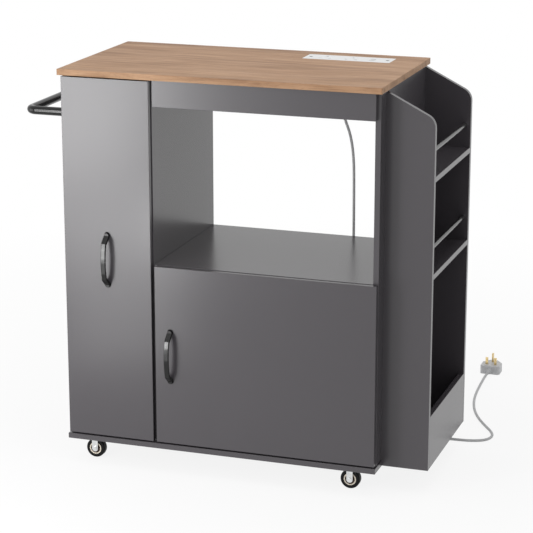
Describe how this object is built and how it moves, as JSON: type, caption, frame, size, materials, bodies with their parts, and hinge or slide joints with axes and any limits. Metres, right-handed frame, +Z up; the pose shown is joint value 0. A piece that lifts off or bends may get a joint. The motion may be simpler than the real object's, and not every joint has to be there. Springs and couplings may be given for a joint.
{
  "type": "kitchen trolley",
  "caption": "Dark grey kitchen trolley on castors with a wood-look worktop, pull-out larder, microwave bay, hinged cupboard, side rack, towel rail and inset power strip.",
  "frame": {"origin": "middle of the footprint on the floor, between the castors, measured without the free mains cord", "axes": "+Z up, the door and the pull-out face -Y, +X to the viewer's right where the side rack is"},
  "size_m": [0.9748, 0.9985, 0.9],
  "materials": {
    "wood_worktop": "satin wood-grain laminate",
    "grey_board": "satin anthracite laminate on board",
    "hardboard": "dark painted hardboard",
    "black_metal": "gloss black",
    "grey_metal": "satin dark grey",
    "steel": "zinc plated",
    "castor_tyre": "matt rubber",
    "castor_hub": "matt moulded plastic",
    "white_plastic": "gloss white",
    "shutter_plastic": "matt grey",
    "black_plastic": "matt black",
    "cord_sheath": "matt pale grey sheath",
    "plug_plastic": "satin pale grey",
    "brass_pins": "bright"
  },
  "bodies": {
    "cabinet": {"worktop": "wood_worktop", "left_side_panel": "grey_board", "divider_panel": "grey_board", "right_side_panel": "grey_board", "base_board": "grey_board", "front_apron": "grey_board", "rear_rail": "grey_board", "microwave_shelf": "grey_board", "rack_front_panel": "grey_board", "rack_back_panel": "grey_board", "rack_upper_shelf": "grey_board", "rack_lower_shelf": "grey_board", "rack_bottom_shelf": "grey_board", "rack_fascia": "grey_board", "tall_back_panel": "hardboard", "lower_back_panel": "hardboard", "fixing_angles": "steel", "rack_guard_rails": "grey_metal", "towel_rail": "black_metal", "towel_rail_flanges": "black_metal", "hinge_plates_and_arms": "steel", "runner_outer_channels": "steel", "castor_plates": "steel", "castor_screws": "steel", "power_strip_faceplate": "white_plastic", "power_strip_housing": "white_plastic", "socket_shutters": "shutter_plastic", "usb_module": "black_plastic", "power_strip_screws": "black_metal", "cord_strain_relief": "cord_sheath", "mains_cord": "cord_sheath", "plug_sleeve": "plug_plastic", "plug_body": "plug_plastic", "plug_pins": "brass_pins"},
    "pullout": {"pullout_front": "grey_board", "pullout_handle": "black_metal", "pullout_handle_screws": "steel", "pullout_back_board": "grey_board", "pullout_bottom_shelf": "grey_board", "pullout_lower_shelf": "grey_board", "pullout_middle_shelf": "grey_board", "pullout_upper_shelf": "grey_board", "pullout_sides": "grey_board", "runner_inner_channels": "steel"},
    "lower_door": {"lower_door": "grey_board", "lower_door_handle": "black_metal", "lower_door_handle_screws": "steel", "hinge_cups": "steel"},
    "castor_front_left": {"castor_fork_front_left": "steel"},
    "wheel_front_left": {"castor_hub_front_left": "castor_hub", "castor_tyre_front_left": "castor_tyre"},
    "castor_front_right": {"castor_fork_front_right": "steel"},
    "wheel_front_right": {"castor_hub_front_right": "castor_hub", "castor_tyre_front_right": "castor_tyre"},
    "castor_rear_left": {"castor_fork_rear_left": "steel"},
    "wheel_rear_left": {"castor_hub_rear_left": "castor_hub", "castor_tyre_rear_left": "castor_tyre"},
    "castor_rear_right": {"castor_fork_rear_right": "steel"},
    "wheel_rear_right": {"castor_hub_rear_right": "castor_hub", "castor_tyre_rear_right": "castor_tyre"}
  },
  "joints": [
    {"name": "pullout_slide", "type": "slide", "parent": "cabinet", "child": "pullout", "axis": [0, -1, 0], "range_m": [0, 0.28]},
    {"name": "lower_door_hinge", "type": "hinge", "parent": "cabinet", "child": "lower_door", "pos_m": [0.3535, -0.1725, 0.275], "axis": [0, 0, 1], "range_deg": [0, 105]},
    {"name": "castor_swivel_front_left", "type": "hinge", "parent": "cabinet", "child": "castor_front_left", "pos_m": [-0.3045, -0.1315, 0.05], "axis": [0, 0, 1], "continuous": true},
    {"name": "wheel_spin_front_left", "type": "hinge", "parent": "castor_front_left", "child": "wheel_front_left", "pos_m": [-0.3165, -0.1315, 0.022], "axis": [0, 1, 0], "continuous": true},
    {"name": "castor_swivel_front_right", "type": "hinge", "parent": "cabinet", "child": "castor_front_right", "pos_m": [0.2995, -0.1315, 0.05], "axis": [0, 0, 1], "continuous": true},
    {"name": "wheel_spin_front_right", "type": "hinge", "parent": "castor_front_right", "child": "wheel_front_right", "pos_m": [0.2875, -0.1315, 0.022], "axis": [0, 1, 0], "continuous": true},
    {"name": "castor_swivel_rear_left", "type": "hinge", "parent": "cabinet", "child": "castor_rear_left", "pos_m": [-0.3045, 0.1525, 0.05], "axis": [0, 0, 1], "continuous": true},
    {"name": "wheel_spin_rear_left", "type": "hinge", "parent": "castor_rear_left", "child": "wheel_rear_left", "pos_m": [-0.3165, 0.1525, 0.022], "axis": [0, 1, 0], "continuous": true},
    {"name": "castor_swivel_rear_right", "type": "hinge", "parent": "cabinet", "child": "castor_rear_right", "pos_m": [0.2995, 0.1525, 0.05], "axis": [0, 0, 1], "continuous": true},
    {"name": "wheel_spin_rear_right", "type": "hinge", "parent": "castor_rear_right", "child": "wheel_rear_right", "pos_m": [0.2875, 0.1525, 0.022], "axis": [0, 1, 0], "continuous": true}
  ]
}
